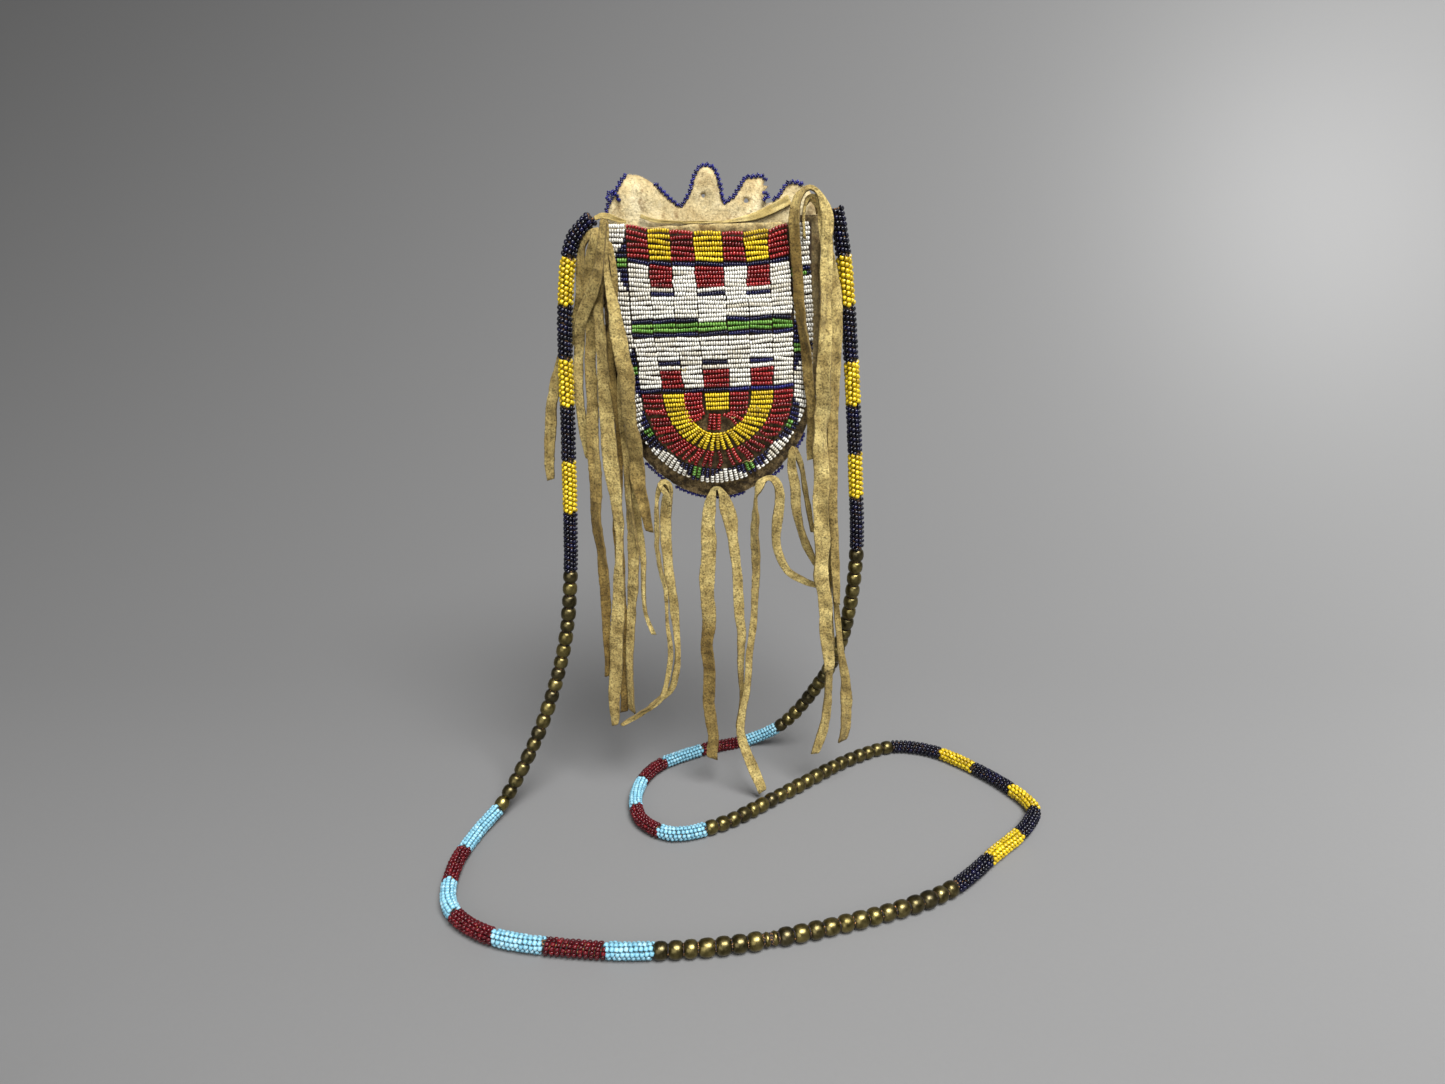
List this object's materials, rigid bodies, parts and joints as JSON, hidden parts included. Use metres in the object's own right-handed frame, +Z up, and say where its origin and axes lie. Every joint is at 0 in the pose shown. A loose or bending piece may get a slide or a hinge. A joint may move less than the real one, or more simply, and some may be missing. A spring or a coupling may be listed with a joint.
{
  "type": "bandolier bag",
  "caption": "Small U-shaped hide pouch covered in lanes of seed beads, with a scalloped back panel, suede fringe and a long rope strap of glass and brass beads.",
  "frame": {"origin": "middle of the pouch's mouth, where the pouch is held up", "axes": "+Z up out of the mouth, the beaded front faces -Y, +X to the viewer's right"},
  "size_m": [0.2683, 0.1544, 0.2903],
  "materials": {
    "hide_pale": "pale tanned hide with a short nap",
    "hide_brown": "brown smoked hide, worn smooth at the rim",
    "fringe_hide": "tan hide strips with a suede nap",
    "white": "opaque white glass seed beads",
    "red": "glossy opaque red glass seed beads",
    "yellow": "opaque yellow glass seed beads",
    "navy": "dark navy glass seed beads",
    "edging_blue": "deep blue glass seed beads",
    "light_blue": "opaque light blue glass seed beads",
    "aged_brass": "cast brass beads with a dark patina"
  },
  "bodies": {
    "root": {"back_panel": "hide_pale", "border_lane": "white", "bottom_thong_1": "fringe_hide", "bottom_thong_2": "fringe_hide", "bottom_thong_3": "fringe_hide", "bottom_thong_4": "fringe_hide", "brass_string_1": "aged_brass", "brass_string_2": "aged_brass", "brass_string_3": "aged_brass", "brass_string_4": "aged_brass", "centre_yellow_rows": "yellow", "front_panel": "hide_brown", "inner_red_left": "red", "inner_red_right": "red", "lane_1": "white", "lane_2": "white", "lane_3": "white", "lane_4": "white", "lane_5": "white", "lane_6": "white", "lane_7": "white", "left_thong_1": "fringe_hide", "left_thong_2": "fringe_hide", "left_thong_3": "fringe_hide", "left_thong_4": "fringe_hide", "lower_edging": "edging_blue", "mouth_thong": "hide_pale", "red_fan": "red", "red_u_lane": "red", "right_thong_1": "fringe_hide", "right_thong_2": "fringe_hide", "right_thong_3": "fringe_hide", "rope_a1": "navy", "rope_a2": "navy", "rope_c1": "light_blue", "rope_c2": "light_blue", "rope_e": "navy", "scallop_edging_left": "edging_blue", "scallop_edging_middle": "edging_blue", "scallop_edging_right": "edging_blue", "yellow_u_lane": "yellow"}
  },
  "joints": []
}
